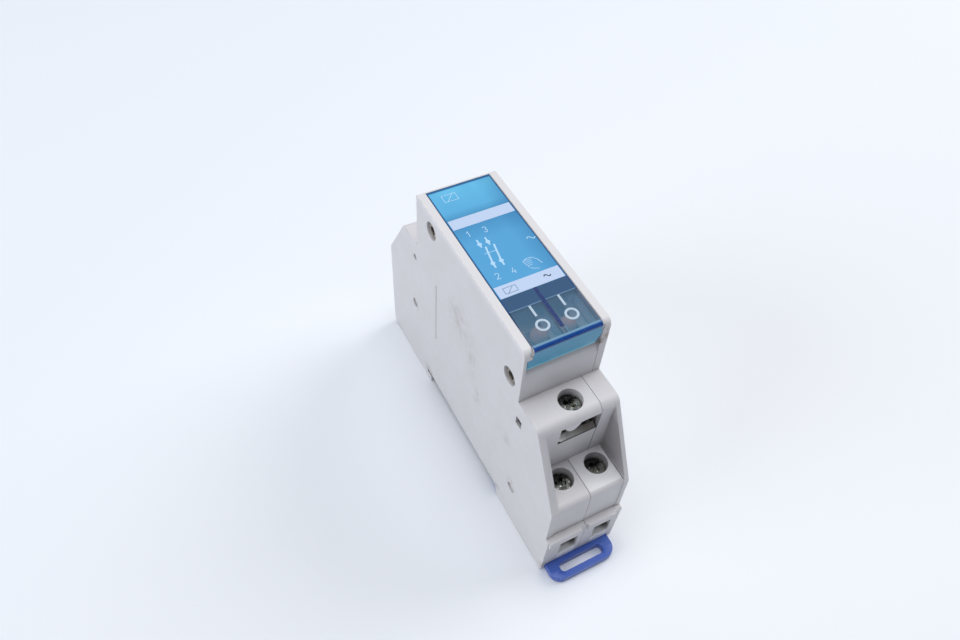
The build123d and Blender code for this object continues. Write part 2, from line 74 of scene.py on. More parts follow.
# ---------------------------------------------------------------- materials
class Finish:
    """A Principled material with short ways to hang textures on it."""

    def __init__(self, name, colour, roughness, metallic=0.0, **inputs):
        self.material = bpy.data.materials.new(name)
        self.material.use_nodes = True
        self.tree = self.material.node_tree
        self.shader = self.tree.nodes["Principled BSDF"]
        self.shader.inputs["Base Color"].default_value = (*colour, 1.0)
        self.shader.inputs["Roughness"].default_value = roughness
        self.shader.inputs["Metallic"].default_value = metallic
        for key, value in inputs.items():
            self.shader.inputs[key.replace("_", " ")].default_value = value
        self.colour = None
        self.height = None
        self.place = self.add("ShaderNodeTexCoord").outputs["Object"]

    def add(self, kind, **settings):
        """New shader node with some of its settings."""
        node = self.tree.nodes.new(kind)
        for key, value in settings.items():
            setattr(node, key, value)
        return node

    def link(self, source, target):
        """Feed an input from a socket."""
        self.tree.links.new(source, target)

    def feed(self, node, index, value):
        """Give an input a value or another node's output."""
        if isinstance(value, bpy.types.NodeSocket):
            self.link(value, node.inputs[index])
        else:
            node.inputs[index].default_value = value

    def noise(self, size, detail=2.0, stretch=(1, 1, 1), offset=(0, 0, 0)):
        """Noise whose features are about size millimetres across."""
        mapping = self.add("ShaderNodeMapping")
        self.link(self.place, mapping.inputs["Vector"])
        mapping.inputs["Scale"].default_value = stretch
        mapping.inputs["Location"].default_value = offset
        noise = self.add("ShaderNodeTexNoise")
        noise.inputs["Scale"].default_value = 1 / (size * MM)
        noise.inputs["Detail"].default_value = detail
        self.link(mapping.outputs["Vector"], noise.inputs["Vector"])
        return noise.outputs["Fac"]

    def spread(self, value, low, high, out_low=0.0, out_high=1.0):
        """Map low..high to out_low..out_high, clamped."""
        ramp = self.add("ShaderNodeMapRange")
        self.link(value, ramp.inputs["Value"])
        limits = {"From Min": low, "From Max": high, "To Min": out_low, "To Max": out_high}
        for key, number in limits.items():
            ramp.inputs[key].default_value = number
        return ramp.outputs["Result"]

    def between(self, value, low, high, soft=0.06):
        """1 from low to high, falling to 0 within soft millimetres outside."""
        return self.times(self.spread(value, low - soft, low), self.spread(value, high + soft, high))

    def times(self, *factors):
        """Product of masks and numbers."""
        product = factors[0]
        for factor in factors[1:]:
            product = self.math("MULTIPLY", product, factor)
        return product

    def math(self, operation, first, second=0.0):
        """Result of one operation on values or sockets."""
        node = self.add("ShaderNodeMath", operation=operation)
        self.feed(node, 0, first)
        self.feed(node, 1, second)
        return node.outputs["Value"]

    def axis(self, letter):
        """One object coordinate, in millimetres."""
        split = self.add("ShaderNodeSeparateXYZ")
        self.link(self.place, split.inputs["Vector"])
        return self.math("MULTIPLY", split.outputs[letter], 1000.0)

    def near(self, middle, radii):
        """1 at a place, falling to 0 at the surface of an ellipsoid round it, in millimetres."""
        mapping = self.add("ShaderNodeMapping", vector_type="POINT")
        scale = [1 / (radius * MM) for radius in radii]
        mapping.inputs["Scale"].default_value = scale
        mapping.inputs["Location"].default_value = [-m * MM * s for m, s in zip(middle, scale)]
        self.link(self.place, mapping.inputs["Vector"])
        length = self.add("ShaderNodeVectorMath", operation="LENGTH")
        self.link(mapping.outputs["Vector"], length.inputs[0])
        return self.spread(length.outputs["Value"], 0.0, 1.0, 1.0, 0.0)

    def tint(self, amount, colour):
        """Lay a colour over what is there, by amount."""
        mix = self.add("ShaderNodeMix", data_type="RGBA")
        self.feed(mix, 0, amount)
        if self.colour is None:
            mix.inputs[6].default_value = self.shader.inputs["Base Color"].default_value
        else:
            self.link(self.colour, mix.inputs[6])
        mix.inputs[7].default_value = (*colour, 1.0)
        self.colour = mix.outputs[2]
        self.link(self.colour, self.shader.inputs["Base Color"])

    def rough(self, value):
        """Take the roughness from a socket."""
        self.link(value, self.shader.inputs["Roughness"])

    def bump(self, height, depth):
        """Relief of depth millimetres on top of what is there."""
        node = self.add("ShaderNodeBump")
        node.inputs["Distance"].default_value = depth * MM
        node.inputs["Strength"].default_value = 1.0
        self.link(height, node.inputs["Height"])
        if self.height is not None:
            self.link(self.height, node.inputs["Normal"])
        self.height = node.outputs["Normal"]
        self.link(self.height, self.shader.inputs["Normal"])


def moulded(name, colour, roughness, grain=0.012, dirt=(0.30, 0.26, 0.20), dirt_share=0.05, **inputs):
    """Spark-eroded moulding: fine grain, and a little dirt in faint clouds."""
    finish = Finish(name, colour, roughness, **inputs)
    clouds = finish.noise(9.0, 4.0)
    finish.tint(finish.spread(clouds, 0.35, 0.75, 0.0, dirt_share), dirt)
    finish.bump(finish.noise(0.16, 3.0), grain)
    finish.rough(finish.spread(finish.noise(2.2, 5.0), 0.3, 0.7, roughness - 0.06, roughness + 0.07))
    return finish


def metal(name, colour, roughness, brushed=(1, 1, 1), stain_share=0.2):
    """Plated or drawn metal with fine marks and a little tarnish."""
    finish = Finish(name, colour, roughness, metallic=1.0)
    finish.tint(finish.spread(finish.noise(0.9, 5.0), 0.45, 0.75, 0.0, stain_share), (0.12, 0.10, 0.08))
    finish.bump(finish.noise(0.12, 2.0, stretch=brushed), 0.006)
    finish.rough(finish.spread(finish.noise(0.5, 4.0), 0.3, 0.7, roughness - 0.08, roughness + 0.12))
    return finish


def strip_finish():
    """Copper strip, nickel-plated where it leaves the housing's inside for a terminal."""
    finish = metal("strip_copper", (0.80, 0.46, 0.27), 0.30, brushed=(1, 0.1, 1))
    outward = finish.math("ABSOLUTE", finish.axis("Y"))
    finish.tint(finish.spread(outward, 22.4, 22.6), (0.74, 0.75, 0.70))
    return finish


def sill_glint_and_shade_finish():
    """Tinned sheet whose bright colour paints a glint at its curled left end, with painted shade darkening
    it towards the right.
    """
    finish = Finish("sill_tin_glint_and_shade", (0.98, 0.98, 0.96), 0.28, metallic=0.1)
    # painted shade: the sheet darkens from its left end towards the right
    finish.tint(finish.spread(finish.axis("X"), -3.2, -1.6, 0.0, 0.60), (0.25, 0.24, 0.22))
    finish.tint(finish.spread(finish.axis("X"), -0.5, 2.5, 0.0, 0.70), (0.13, 0.10, 0.08))
    finish.bump(finish.noise(0.5, 2.0), 0.03)
    return finish


def screw_finish():
    """Glossy plating with painted shade on the inner side of each well, for the well's shadow and the dark
    wall it reflects, and dents that catch the light.
    """
    finish = metal("screw_nickel", (0.42, 0.43, 0.38), 0.15, stain_share=0.45)
    inward = finish.math("ABSOLUTE", finish.axis("Y"))
    # painted shade on the side of each head towards the housing's middle
    for low, high in ((LOWER_Y - 2.4, LOWER_Y - 0.7), (UPPER_Y - 2.4, UPPER_Y - 0.7)):
        shade = finish.between(inward, low, high, soft=0.7)
        finish.tint(finish.times(shade, 0.88), (0.015, 0.015, 0.015))
    finish.bump(finish.noise(0.8, 2.0), 0.14)
    return finish


def housing_finish():
    """Light grey moulding with dirt and painted shade in the seams and recesses, old stains on the left
    side, and painted light on the cap's rim, the lower terrace and the notch slopes.
    """
    finish = moulded("housing_grey", (0.68, 0.665, 0.69), 0.50, grain=0.010, dirt_share=0.07)
    across, along, z = finish.axis("X"), finish.axis("Y"), finish.axis("Z")
    x = finish.math("ABSOLUTE", across)
    y = finish.math("ABSOLUTE", along)

    def block(x_span, y_span, z_span):
        """1 inside a box at either end of the housing."""
        spans = ((across, x_span), (y, y_span), (z, z_span))
        return finish.times(*(finish.between(value, *span) for value, span in spans))

    # dirt and painted shade in the corners, from ambient occlusion; less of it on the skirt
    grime_and_shade = finish.add("ShaderNodeAmbientOcclusion", samples=6, only_local=False)
    grime_and_shade.inputs["Distance"].default_value = 1.6 * MM
    corners = finish.spread(grime_and_shade.outputs["AO"], 0.25, 0.85, 0.45, 0.0)
    cloud = finish.spread(finish.noise(3.0, 4.0), 0.3, 0.7, 0.5, 1.0)
    skirt = finish.times(finish.spread(y, 36.5, 37.5), finish.spread(z, 9.0, 8.5), 0.8)
    finish.tint(finish.times(corners, cloud, finish.math("SUBTRACT", 1.0, skirt)), (0.22, 0.19, 0.16))

    # painted light on the slopes of the skirt's wire notches, which lie in shade; y is without its sign, so
    # the far end's plain face takes pale squares from it too, which is a known fault
    notches = []
    for middle in NOTCH_X:
        off = finish.math("ABSOLUTE", finish.math("SUBTRACT", across, middle))
        notches.append(finish.spread(off, 2.2, 2.1))
    slopes = finish.times(finish.spread(z, 3.3, 3.15), finish.spread(y, 36.8, 37.6),
                          finish.spread(y, 39.75, 39.65), finish.math("MAXIMUM", *notches))
    finish.tint(slopes, (0.93, 0.93, 0.95))

    # shaded inner face of the right wing
    wing = finish.times(finish.spread(y, 29.4, 30.2), finish.spread(across, 7.80, 7.98),
                        finish.spread(across, 8.12, 8.03), finish.spread(z, 22.6, 23.4),
                        finish.spread(z, 40.0, 34.0))
    finish.tint(finish.times(wing, 0.62), (0.17, 0.15, 0.155))

    # dark lines at the foot of that wing, at the cover's edge and under the wire slot's sill
    seams = (
        ((7.88, 8.0), (30.0, 38.5), (22.3, 22.6), 0.65),
        ((4.84, 4.98), (29.3, 30.6), (22.6, 37.6), 0.60),
        ((-4.1, 4.9), (29.6, 30.6), (32.26, 32.40), 0.80),
    )
    for x_span, y_span, z_span, strength in seams:
        finish.tint(finish.times(block(x_span, y_span, z_span), strength), (0.06, 0.05, 0.05))

    # painted shade under the window's lip, painted light on the rim of the cap and on the lower terrace,
    # which the wing shades
    under_lip = finish.times(finish.spread(z, 47.3, 48.5), block((-8.3, 7.3), (19.0, 22.45), (40.0, 49.8)))
    finish.tint(finish.times(under_lip, 0.45), (0.06, 0.05, 0.05))
    finish.tint(finish.spread(z, 53.2, 54.7, 0.0, 0.6), (0.84, 0.83, 0.85))
    terrace = finish.times(finish.between(z, 22.44, 22.56), finish.between(across, 0.4, 7.8))
    finish.tint(finish.times(terrace, 0.6), (0.90, 0.89, 0.91))

    # painted shade in the insides of the wire entries and of the upper terminals; the entries' range of y
    # also holds the far end's outer face and darkens it, which is a known fault
    entry = finish.times(finish.spread(y, 38.6, 38.3), finish.spread(y, 35.0, 36.0),
                         finish.spread(z, 1.4, 1.6), finish.spread(z, 9.0, 8.8))
    chamber = finish.times(finish.spread(y, 29.5, 29.2), finish.spread(z, 30.0, 30.2),
                           finish.spread(z, 36.4, 36.2))
    inside = finish.times(finish.math("MAXIMUM", entry, chamber), finish.spread(x, 8.5, 8.3))
    finish.tint(finish.times(inside, 0.75), (0.07, 0.06, 0.055))
    # painted shade in the upper right corner of each wire notch at the near end
    for middle in ((-1.3, -38.3, 3.4), (7.0, -38.3, 3.4)):
        corner = finish.near(middle, (1.6, 1.5, 2.4))
        finish.tint(finish.times(corner, 1.5), (0.10, 0.085, 0.075))

    # stains on the left side, and darker patches at the right end of the window's lip: middle, radii and
    # strength
    stains = (
        ((-9.0, 2.2, 36.3), (2.0, 6.0, 6.5), 0.42),
        ((-9.0, -4.0, 30.5), (2.0, 3.0, 9.0), 0.30),
        ((-9.0, -7.2, 21.0), (2.0, 2.2, 4.0), 0.40),
        ((-9.0, 17.0, 0.4), (2.5, 3.0, 2.4), 0.75),
        ((-9.0, -19.7, 23.2), (2.0, 2.6, 2.6), 0.42),
        ((-9.0, -17.0, 0.2), (2.5, 6.0, 1.6), 0.55),
        ((-9.0, -39.6, -1.4), (3.0, 2.2, 2.6), 0.9),
        ((-9.0, -24.1, 10.0), (2.0, 2.6, 3.0), 0.50),
        ((-9.0, 24.3, 18.8), (2.0, 2.6, 3.2), 0.50),
        ((8.2, -22.3, 50.8), (1.2, 1.2, 2.6), 1.5),
        ((7.3, -22.4, 49.2), (1.3, 1.0, 0.9), 1.8),
    )
    rag = finish.spread(finish.noise(1.6, 6.0), 0.38, 0.62)
    for middle, radii, strength in stains:
        finish.tint(finish.times(finish.near(middle, radii), rag, strength), (0.28, 0.24, 0.19))

    scratches = finish.spread(finish.noise(0.55, 1.0, stretch=(1, 0.04, 1.0)), 0.66, 0.72)
    finish.tint(finish.times(scratches, 0.10), (0.85, 0.85, 0.86))
    specks = finish.spread(finish.noise(0.6, 2.0, offset=(0.02, 0.01, 0.03)), 0.74, 0.79)
    finish.tint(finish.times(specks, 0.35), (0.25, 0.21, 0.17))
    return finish


def window_finish():
    """Blue tinted window: filled over the label, clearer over the levers, dark along its edges."""
    finish = Finish("window_blue", (0.125, 0.46, 0.79), 0.16, Coat_Weight=0.12, Coat_Roughness=0.06)
    finish.shader.inputs["Specular IOR Level"].default_value = 0.35
    across, y, z = finish.axis("X"), finish.axis("Y"), finish.axis("Z")
    x = finish.math("ABSOLUTE", across)
    glow = finish.spread(y, 12.5, 20.0, 0.0, 0.8)
    cloud = finish.spread(finish.noise(7.0, 2.0), 0.3, 0.7, 0.4, 1.0)
    under_band = finish.times(finish.spread(y, 5.0, 9.7, 0.0, 0.5), finish.spread(y, 9.9, 9.7))
    border = finish.math("MAXIMUM", finish.spread(x, 6.92, 7.05), finish.spread(y, 20.9, 21.15))
    border = finish.times(border, finish.spread(z, 53.9, 54.2), 0.85)
    rib_end = finish.times(finish.spread(x, 7.1, 7.2), finish.spread(y, -21.0, -21.2),
                           finish.spread(z, 52.9, 53.1))
    layers = (
        (finish.times(glow, cloud), (0.19, 0.66, 0.96)),                    # upper field
        (finish.spread(y, 14.5, 12.4, 0.0, 0.55), (0.055, 0.25, 0.48)),     # its shade above the band
        (finish.spread(y, 9.8, 9.6), (0.118, 0.425, 0.76)),                 # middle field
        (under_band, (0.055, 0.24, 0.50)),                                  # its shade below the band
        (finish.spread(across, 3.0, 6.8, 0.0, 0.40), (0.045, 0.21, 0.44)),  # painted shade towards the right side
        (finish.spread(y, -9.6, -9.8), (0.055, 0.12, 0.235)),               # navy field: painted shade of the dark step seen below the window
        (finish.spread(y, -12.9, -13.1), (0.22, 0.34, 0.52)),               # clear part
        (finish.spread(y, -17.0, -21.5, 0.0, 0.55), (0.20, 0.40, 0.54)),    # its greener end
        (finish.spread(y, -21.80, -21.95), (0.004, 0.060, 0.29)),           # dark fold
        (finish.spread(z, 54.25, 53.9), (0.055, 0.34, 0.56)),               # lip
        (finish.spread(z, 50.25, 50.0), (0.22, 0.64, 0.80)),                # painted highlight along its bottom edge
        (border, (0.02, 0.085, 0.27)),
        (rib_end, (0.60, 0.59, 0.61)),
    )
    for amount, colour in layers:
        finish.tint(amount, colour)
    clear = finish.times(finish.spread(y, -13.0, -13.2), finish.spread(y, -21.5, -21.3))
    alpha = finish.math("SUBTRACT", 0.95, finish.times(clear, 0.66))
    finish.link(alpha, finish.shader.inputs["Alpha"])
    finish.bump(finish.noise(3.0, 2.0), 0.02)
    finish.rough(finish.spread(finish.noise(1.3, 5.0), 0.3, 0.75, 0.12, 0.26))
    return finish


def print_finish(name, colour):
    """Screen-printed ink, slightly uneven."""
    finish = Finish(name, colour, 0.45)
    finish.shader.inputs["Specular IOR Level"].default_value = 0.3
    worn = finish.spread(finish.noise(0.35, 4.0), 0.55, 0.75, 0.0, 0.14)
    finish.tint(worn, (0.35, 0.58, 0.80))
    finish.bump(finish.noise(0.1, 2.0), 0.003)
    return finish


def floor_finish():
    """Pale bluish paper, with painted light round the object."""
    finish = Finish("floor_paper", (0.89, 0.925, 0.995), 0.9)
    finish.tint(finish.spread(finish.noise(60.0, 2.0), 0.3, 0.7, 0.0, 0.12), (0.87, 0.92, 0.99))
    # painted light: pools that lift the floor where the object's shadows fall, on its right and near left
    painted_light_pools = (
        ((70, -30, FLOOR_Z), (190, 190, 60), 0.75),
        ((-75, -55, FLOOR_Z), (120, 140, 60), 0.6),
    )
    for middle, radii, share in painted_light_pools:
        finish.tint(finish.times(finish.near(middle, radii), share), (0.95, 0.97, 1.0))
    return finish


FINISHES = {
    "housing_grey": housing_finish(),
    "tray_grey": moulded("tray_grey", (0.50, 0.52, 0.56), 0.55),
    "window_blue": window_finish(),
    "label": print_finish("label_card", (0.62, 0.72, 0.86)),
    "lever_grey": moulded("lever_grey", (0.90, 0.50, 0.38), 0.45),
    "clip_blue": moulded("clip_blue", (0.040, 0.105, 0.47), 0.34, grain=0.008,
                         dirt=(0.10, 0.20, 0.55), dirt_share=0.3),
    "carrier_white": moulded("carrier_white", (0.74, 0.72, 0.64), 0.5),
    "bobbin_white": moulded("bobbin_white", (0.80, 0.77, 0.68), 0.45),
    "rivet_steel": metal("rivet_steel", (0.34, 0.31, 0.27), 0.42, stain_share=0.5),
    "spring_steel": metal("spring_steel", (0.60, 0.60, 0.62), 0.25, brushed=(1, 1, 0.2)),
    "magnet_steel": metal("magnet_steel", (0.46, 0.47, 0.50), 0.38, brushed=(1, 0.15, 1)),
    "copper_wire": metal("copper_wire", (0.55, 0.20, 0.08), 0.25),
    "contact_silver": metal("contact_silver", (0.82, 0.81, 0.77), 0.28),
    "strip_copper": strip_finish(),
    "screw_nickel": screw_finish(),
    "clamp_nickel": metal("clamp_nickel", (0.74, 0.74, 0.69), 0.34, stain_share=0.3),
}
GUARD_WHITE = moulded("guard_white", (0.88, 0.86, 0.88), 0.45)
SILL_TIN_GLINT_AND_SHADE = sill_glint_and_shade_finish()
INK_WHITE = print_finish("ink_white", (0.52, 0.64, 0.76))
INK_SIGN = print_finish("ink_sign", (0.48, 0.74, 0.97))
INK_BAND = print_finish("ink_band", (0.56, 0.68, 0.90))
INK_GREY = print_finish("ink_grey", (0.22, 0.33, 0.50))
INK_DARK = print_finish("ink_dark", (0.035, 0.06, 0.11))
INK_STEP = print_finish("ink_step", (0.12, 0.27, 0.44))
INK_RIB = print_finish("ink_rib", (0.022, 0.045, 0.165))
INK_EDGE = print_finish("ink_edge", (0.10, 0.29, 0.46))


# ---------------------------------------------------------------- mesh helpers
class Shape:
    """A mesh under construction, in millimetres in the row frame."""

    def __init__(self):
        self.mesh = bmesh.new()
        self.strokes = 0

    def ring(self, points):
        """Vertices at some points."""
        return [self.mesh.verts.new([c * MM for c in point]) for point in points]

    def bridge(self, first, second):
        """Quads between two rings of equal length."""
        for i in range(len(first)):
            j = (i + 1) % len(first)
            self.mesh.faces.new((first[i], first[j], second[j], second[i]))

    def cap(self, ring, reverse=False):
        """One face over a ring."""
        self.mesh.faces.new(list(reversed(ring)) if reverse else ring)

    def loft(self, rings):
        """Skin over rings of points, with both ends closed."""
        made = [self.ring(points) for points in rings]
        for first, second in zip(made, made[1:]):
            self.bridge(first, second)
        self.cap(made[0], reverse=True)
        self.cap(made[-1])

    def prism(self, outline, low, high):
        """Solid between two heights over an X-Y outline."""
        self.loft([[(x, y, low) for x, y in outline], [(x, y, high) for x, y in outline]])

    def tube(self, path, radius, sides=10):
        """Round wire along a list of points."""
        rings = []
        side = Vector((0, 0, 1))
        for i, point in enumerate(path):
            ahead = Vector(path[min(i + 1, len(path) - 1)]) - Vector(path[max(i - 1, 0)])
            ahead.normalize()
            side = side - ahead * side.dot(ahead)
            if side.length < 1e-4:
                side = ahead.orthogonal()
            side.normalize()
            up = ahead.cross(side)
            turns = [2 * pi * k / sides for k in range(sides)]
            rings.append([Vector(point) + radius * (cos(t) * side + sin(t) * up) for t in turns])
        self.loft(rings)

    def finish(self, name, body, slot, smooth=35, material=None):
        """Turn the work into a piece that rides on a body; edges above smooth degrees stay sharp."""
        bmesh.ops.remove_doubles(self.mesh, verts=self.mesh.verts, dist=1e-7)
        bmesh.ops.recalc_face_normals(self.mesh, faces=self.mesh.faces)
        data = bpy.data.meshes.new(name)
        self.mesh.to_mesh(data)
        self.mesh.free()
        for face in data.polygons:
            face.use_smooth = True
        data.set_sharp_from_angle(angle=radians(smooth))
        obj = bpy.data.objects.new(name, data)
        bpy.context.scene.collection.objects.link(obj)
        data.materials.append((material or FINISHES[slot]).material)
        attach(obj, body)
        return obj


def soften(obj, width, segments=2, angle=32):
    """Round the sharp edges of a piece with modifiers, leaving its mesh as it is."""
    join = obj.modifiers.new("join", "WELD")
    join.merge_threshold = 2e-6
    bevel = obj.modifiers.new("bevel", "BEVEL")
    bevel.width = width * MM
    bevel.segments = segments
    bevel.limit_method = "ANGLE"
    bevel.angle_limit = radians(angle)
    bevel.miter_outer = "MITER_ARC"
    bevel.use_clamp_overlap = True
    normals = obj.modifiers.new("normals", "WEIGHTED_NORMAL")
    normals.keep_sharp = False
    normals.weight = 60


def circle(radius, count):
    """Points round a circle about the origin."""
    turns = [2 * pi * i / count for i in range(count)]
    return [(radius * cos(t), radius * sin(t)) for t in turns]


# ---------------------------------------------------------------- carried-over CAD nodes
SOFTENED = {                                # width of the round on each node's edges
    "housing_left": 0.28, "housing_right": 0.28, "front_tray": 0.15, "rail_clip": 0.28,
    "contact_carrier": 0.2, "armature": 0.15, "coil_bobbin": 0.12, "magnet_yoke": 0.2,
    "fixed_core": 0.15, "label_card": 0.04, "lever_left": 0.15, "lever_right": 0.15,
    "contact_bridge_left": 0.1, "contact_bridge_right": 0.1,
}
BENT_METAL = ("lift_cage", "clamp_plate", "load_busbar", "coil_busbar")


def dress_cad():
    """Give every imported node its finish, and its edges a small round."""
    for name, obj in NODES.items():
        material = FINISHES[SLOT_OF[name]].material
        for place in obj.material_slots:
            place.material = material
        if not obj.material_slots:
            obj.data.materials.append(material)
        width = SOFTENED.get(name)
        if name.startswith(BENT_METAL):
            width = 0.12
        if width:
            soften(obj, width)


# ---------------------------------------------------------------- window and its printing
INK_LOW = FRONT_Z - 0.01
INK_HIGH = FRONT_Z + 0.02
CIRCLE_COUNT = 48
UPPER_BAND = (9.7, 12.4)    # Y of the pale bands
LOWER_BAND = (-9.7, -6.75)
STEP_Y = -13.15             # step between the navy field and the clear part
RIB_FOOT_Y = -19.9
FOLD_Y = -21.74             # where the window turns down into its lip
INK_STEP_UP = 0.001         # each stroke of a shape tops the one before by this much


def strip(shape, points, width, closed=False, low=INK_LOW, high=INK_HIGH):
    """Line of ink with square ends and mitred corners, a hair higher than the shape's last one."""
    shape.strokes += 1
    top = high + INK_STEP_UP * shape.strokes
    count = len(points)
    rings = []
    for i, (x, y) in enumerate(points):
        before = points[i - 1] if closed or i else points[0]
        after = points[(i + 1) % count] if closed or i + 1 < count else points[-1]
        legs = []
        for (ax, ay), (bx, by) in ((before, (x, y)), ((x, y), after)):
            size = hypot(bx - ax, by - ay)
            if size > 1e-9:
                legs.append(((bx - ax) / size, (by - ay) / size))
        dx = sum(leg[0] for leg in legs)
        dy = sum(leg[1] for leg in legs)
        size = hypot(dx, dy)
        dx, dy = dx / size, dy / size
        spread = width / 2 / max(0.4, abs(dx * legs[0][0] + dy * legs[0][1]))
        sides = ((x - dy * spread, y + dx * spread), (x + dy * spread, y - dx * spread))
        rings.append(shape.ring([(*sides[0], low), (*sides[0], top), (*sides[1], top), (*sides[1], low)]))
    for first, second in zip(rings, rings[1:] + rings[:1] if closed else rings[1:]):
        shape.bridge(first, second)
    if not closed:
        shape.cap(rings[0], reverse=True)
        shape.cap(rings[-1])


def arc(x, y, radius, start, end, steps=14):
    """Points along an arc between two angles in degrees."""
    turns = [radians(start + (end - start) * i / steps) for i in range(steps + 1)]
    return [(x + radius * cos(t), y + radius * sin(t)) for t in turns]


def numeral(shape, digit, x, y, height, width=0.152):
    """Terminal number in plain single strokes."""
    half = height / 2
    r = height * 0.27
    if digit == 1:
        strip(shape, [(x - r, y + half - r), (x, y + half), (x, y - half)], width)
    elif digit == 2:
        strip(shape, arc(x, y + half - r, r, 165, -35) + [(x - r, y - half), (x + r * 1.1, y - half)], width)
    elif digit == 3:
        bow = (height + width) / 4 - width / 2
        strip(shape, arc(x, y + bow, bow, 165, -90), width)
        strip(shape, arc(x, y - bow, bow, 90, -165), width)
    else:
        bar = y - half * 0.35
        strip(shape, [(x + r, bar), (x - r * 1.1, bar), (x + r * 0.3, y + half)], width)
        strip(shape, [(x + r * 0.45, y + half * 0.2), (x + r * 0.45, y - half)], width)


def bud(shape, x, y, size):
    """Filled diamond that marks a contact end."""
    shape.strokes += 1
    outline = [(x, y + size * 1.35), (x - size, y), (x, y - size * 1.35), (x + size, y)]
    shape.prism(outline, INK_LOW, INK_HIGH + INK_STEP_UP * shape.strokes)


def coil_sign(shape, x, y, half_x, half_y, width):
    """Coil symbol: a box with a diagonal."""
    strip(shape, [(x - half_x, y + half_y), (x - half_x, y - half_y), (x + half_x, y - half_y),
                  (x + half_x, y + half_y)], width, closed=True)
    strip(shape, [(x - half_x * 0.6, y - half_y), (x + half_x * 0.6, y + half_y)], width)


def wave(shape, x, y, length, height, width):
    """Sign for alternating current."""
    steps = 16
    points = []
    for i in range(steps + 1):
        points.append((x + length * (i / steps - 0.5), y + height * sin(2 * pi * i / steps)))
    strip(shape, points, width)


def hand_sign(shape, x, y):
    """Plain pointing hand for manual operation: back of the hand, four fingers and a thumb."""
    strip(shape, [(x - 1.45, y + 1.3), (x - 0.6, y + 1.6), (x + 0.3, y + 1.5), (x + 1.15, y + 0.7),
                  (x + 1.6, y - 0.7)], 0.14)
    for i in range(4):
        left = x - 1.55 + 0.13 * i
        level = y + 1.15 - 0.46 * i
        tip = arc(left, level - 0.16, 0.16, 110, 250, 5)
        strip(shape, [(x + 0.15 - 0.12 * i, level + 0.06), (left, level)] + tip, 0.12)
    strip(shape, [(x - 1.15, y - 0.75), (x - 0.75, y - 1.15), (x - 0.3, y - 1.35),
                  (x + 0.45, y - 1.65)], 0.14)


def contact_sign(shape, x, top, bottom):
    """Open contact: an upper and a lower terminal stub, and the blade that has swung away."""
    strip(shape, [(x, top), (x, top - 2.2)], 0.34)
    bud(shape, x, top - 1.3, 0.54)
    strip(shape, [(x, bottom), (x, bottom + 1.3), (x + 0.75, top - 2.35)], 0.38)
    bud(shape, x, bottom + 1.25, 0.54)


def window_print():
    """White and dark printing on the face of the window."""
    bands = Shape()
    left, right = -6.85, 6.9
    for low, high in (UPPER_BAND, LOWER_BAND):
        bands.prism([(left, low), (right, low), (right, high), (left, high)], INK_LOW, INK_HIGH - 0.01)
    bands.finish("print_bands", "window", "label", material=INK_BAND)

    signs = Shape()
    coil_sign(signs, -3.3, 18.55, 1.5, 1.0, 0.13)
    for x in (-3.95, -2.15):
        contact_sign(signs, x, 5.6, -2.4)
    strip(signs, [(-4.3, 1.62), (-1.75, 1.62)], 0.14)
    numerals = ((1, -4.58, 7.62, 1.41), (3, -1.12, 7.5, 1.60), (2, -4.72, -4.42, 1.41),
                (4, -1.27, -4.42, 1.44))
    for digit, x, y, height in numerals:
        numeral(signs, digit, x, y, height)
    wave(signs, 6.0, 1.75, 1.85, 0.36, 0.2)
    hand_sign(signs, 3.05, -4.35)
    signs.finish("print_signs", "window", "label", material=INK_SIGN)

    marks = Shape()
    for x in (-2.95, 3.16):
        strip(marks, [(x, STEP_Y), (x, -15.85)], 0.46)
        strip(marks, [(x + a, -18.07 + b) for a, b in circle(1.14, CIRCLE_COUNT)], 0.46, closed=True)
    marks.finish("print_positions", "window", "label", material=INK_WHITE)

    grey = Shape()
    coil_sign(grey, -4.1, -8.3, 1.3, 0.72, 0.14)
    grey.finish("print_grey", "window", "label", material=INK_GREY)

    dark = Shape()
    wave(dark, 3.85, -8.15, 1.45, 0.3, 0.24)
    dark.finish("print_dark", "window", "label", material=INK_DARK)

    step = Shape()
    for low, high in ((-6.8, -0.45), (0.75, 6.85)):
        strip(step, [(low, STEP_Y), (high, STEP_Y)], 0.10)
    step.finish("window_step_line", "window", "window_blue", material=INK_STEP)

    rib = Shape()
    middle = MID_X - 0.15
    strip(rib, [(middle, -9.75), (middle, RIB_FOOT_Y)], 0.8, low=INK_LOW - 0.02, high=INK_HIGH - 0.02)
    rib.finish("window_rib_line", "window", "window_blue", material=INK_RIB)

    feet = Shape()
    for side in (-0.42, 0.42):
        strip(feet, [(middle + side, RIB_FOOT_Y), (middle + side, -21.5)], 0.12, high=INK_HIGH - 0.015)
    strip(feet, [(-6.8, FOLD_Y), (6.8, FOLD_Y)], 0.06, high=INK_HIGH - 0.015)
    feet.finish("window_edge_line", "window", "window_blue", material=INK_EDGE)


# ---------------------------------------------------------------- screws, rivets, springs, winding
def thread(shape, x, y, low, high, crest, root, sides=24, per_turn=6):
    """Threaded rod: the radius rises and falls along a helix."""
    steps = ceil((high - low) / PITCH * per_turn)
    rings = []
    for k in range(steps + 1):
        z = low + (high - low) * k / steps
        ring = []
        for i in range(sides):
            phase = (z / PITCH - i / sides) % 1.0
            depth = abs(2 * phase - 1)
            fade = min(1.0, (z - low) / PITCH, (high - z) / PITCH)
            radius = root + (crest - root) * depth * max(0.0, fade)
            angle = 2 * pi * i / sides
            ring.append((x + radius * cos(angle), y + radius * sin(angle), z))
        rings.append(ring)
    shape.loft(rings)


def head_profile(radius, low, high):
    """Radius and height pairs of a cheese head with rounded rims."""
    return [(radius - 0.12, low), (radius, low + 0.12), (radius, high - 0.3), (radius - 0.09, high - 0.1),
            (radius - 0.3, high)]


